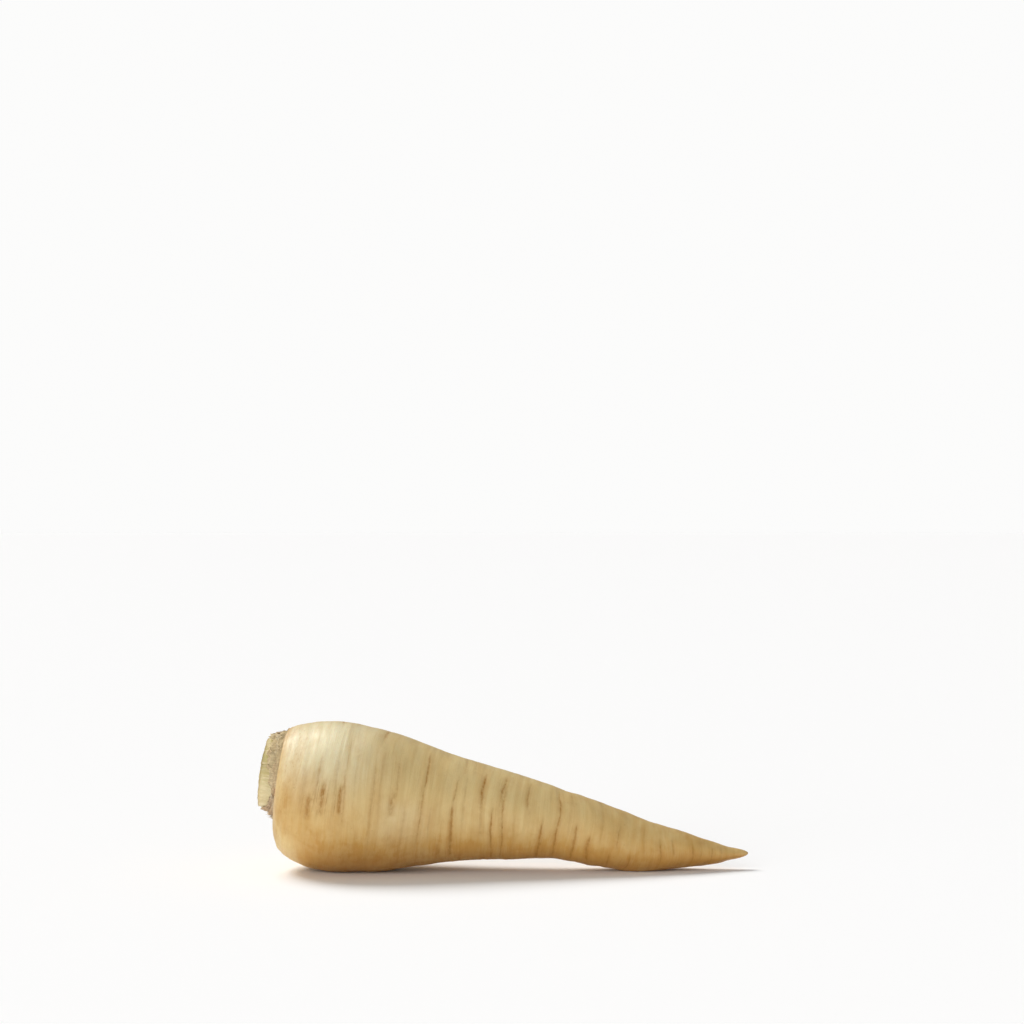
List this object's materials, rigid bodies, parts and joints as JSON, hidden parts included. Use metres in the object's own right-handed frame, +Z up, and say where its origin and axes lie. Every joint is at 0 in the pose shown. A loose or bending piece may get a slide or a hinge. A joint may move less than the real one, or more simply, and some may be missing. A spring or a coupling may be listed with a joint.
{
  "type": "parsnip",
  "caption": "Whole trimmed parsnip root lying on its side, with a ring of dry scales and cut leaf stalks at its crown.",
  "frame": {"origin": "on the surface that the root lies on, under the middle of its bounding box", "axes": "+X along the root from the crown to the tip, -Y towards the side that is seen, +Z up"},
  "size_m": [0.1861, 0.0571, 0.0562],
  "materials": {
    "root_skin": "cream root skin with tan growth rings, slightly waxy",
    "dry_scales": "dry, papery, brown",
    "leaf_stalk": "cut green and tan plant stalk"
  },
  "bodies": {
    "root": {"root": "root_skin", "crown_scales": "dry_scales", "leaf_stalks": "leaf_stalk"}
  },
  "joints": []
}
